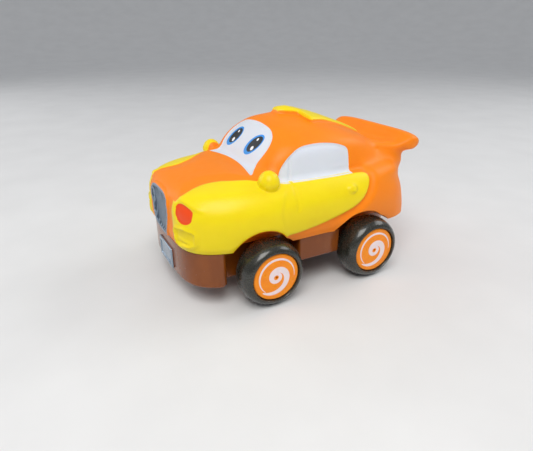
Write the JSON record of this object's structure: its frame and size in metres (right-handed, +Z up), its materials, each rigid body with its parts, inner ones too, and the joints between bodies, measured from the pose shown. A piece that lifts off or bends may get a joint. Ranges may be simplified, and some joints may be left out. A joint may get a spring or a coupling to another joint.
{
  "type": "pull back car",
  "caption": "Toy car with a soft one-piece vinyl body on a plastic chassis, four plump wheels on two axles and a geared clockwork pull-back motor on the rear axle.",
  "frame": {"origin": "on the ground, below the middle of the car's length and width", "axes": "+X is the car's left, the front faces -Y, +Z is up"},
  "size_m": [0.08, 0.1141, 0.0714],
  "materials": {
    "orange_vinyl": "satin soft PVC, moulded orange with sprayed yellow, white and silver areas",
    "brown_plastic": "glossy moulded ABS",
    "grey_plastic": "moulded, unpainted",
    "black_tyre": "glossy black PVC",
    "orange_disc": "glossy, with a printed white spiral",
    "white_nylon": "moulded nylon",
    "clear_case": "moulded, semi-gloss",
    "steel": "drawn and zinc plated",
    "spring_steel": "blued strip"
  },
  "bodies": {
    "car": {"body_shell": "orange_vinyl", "chassis_tray": "brown_plastic", "inner_frame": "grey_plastic", "chassis_screw_1": "steel", "chassis_screw_2": "steel", "chassis_screw_3": "steel", "chassis_screw_4": "steel", "front_axle_bush_left": "white_nylon", "front_axle_bush_right": "white_nylon", "motor_case_left": "clear_case", "motor_case_right": "clear_case", "motor_partition": "clear_case", "case_screw_1": "steel", "case_screw_2": "steel", "motor_screw_1": "steel", "motor_screw_2": "steel", "drive_gear_pin": "steel", "clutch_gear_pin": "steel", "mainspring": "spring_steel"},
    "front_wheelset": {"front_axle": "steel", "tyre_front_left": "black_tyre", "wheel_core_front_left": "grey_plastic", "hub_disc_front_left": "orange_disc", "tyre_front_right": "black_tyre", "wheel_core_front_right": "grey_plastic", "hub_disc_front_right": "orange_disc"},
    "rear_wheelset": {"rear_axle": "steel", "axle_pinion": "white_nylon", "tyre_rear_left": "black_tyre", "wheel_core_rear_left": "grey_plastic", "hub_disc_rear_left": "orange_disc", "tyre_rear_right": "black_tyre", "wheel_core_rear_right": "grey_plastic", "hub_disc_rear_right": "orange_disc"},
    "drive_gear": {"drive_gear": "white_nylon"},
    "clutch_gear": {"clutch_gear": "white_nylon"},
    "spring_gear": {"spring_gear": "white_nylon"}
  },
  "joints": [
    {"name": "front_wheels_spin", "type": "hinge", "parent": "car", "child": "front_wheelset", "pos_m": [0, -0.0245, 0.0137], "axis": [1, 0, 0], "continuous": true},
    {"name": "rear_wheels_spin", "type": "hinge", "parent": "car", "child": "rear_wheelset", "pos_m": [0, 0.0245, 0.0137], "axis": [1, 0, 0], "continuous": true},
    {"name": "drive_gear_spin", "type": "hinge", "parent": "car", "child": "drive_gear", "pos_m": [0, 0.02142, 0.02216], "axis": [1, 0, 0], "continuous": true},
    {"name": "clutch_gear_spin", "type": "hinge", "parent": "car", "child": "clutch_gear", "pos_m": [0, 0.02913, 0.0268], "axis": [1, 0, 0], "continuous": true},
    {"name": "spring_gear_spin", "type": "hinge", "parent": "car", "child": "spring_gear", "pos_m": [0, 0.03338, 0.02111], "axis": [1, 0, 0], "continuous": true, "deforming": ["mainspring"]}
  ],
  "couplings": [
    {"joint": "drive_gear_spin", "follows": "rear_wheels_spin", "ratio": -0.5},
    {"joint": "clutch_gear_spin", "follows": "rear_wheels_spin", "ratio": 1},
    {"joint": "spring_gear_spin", "follows": "rear_wheels_spin", "ratio": 0.16667}
  ]
}
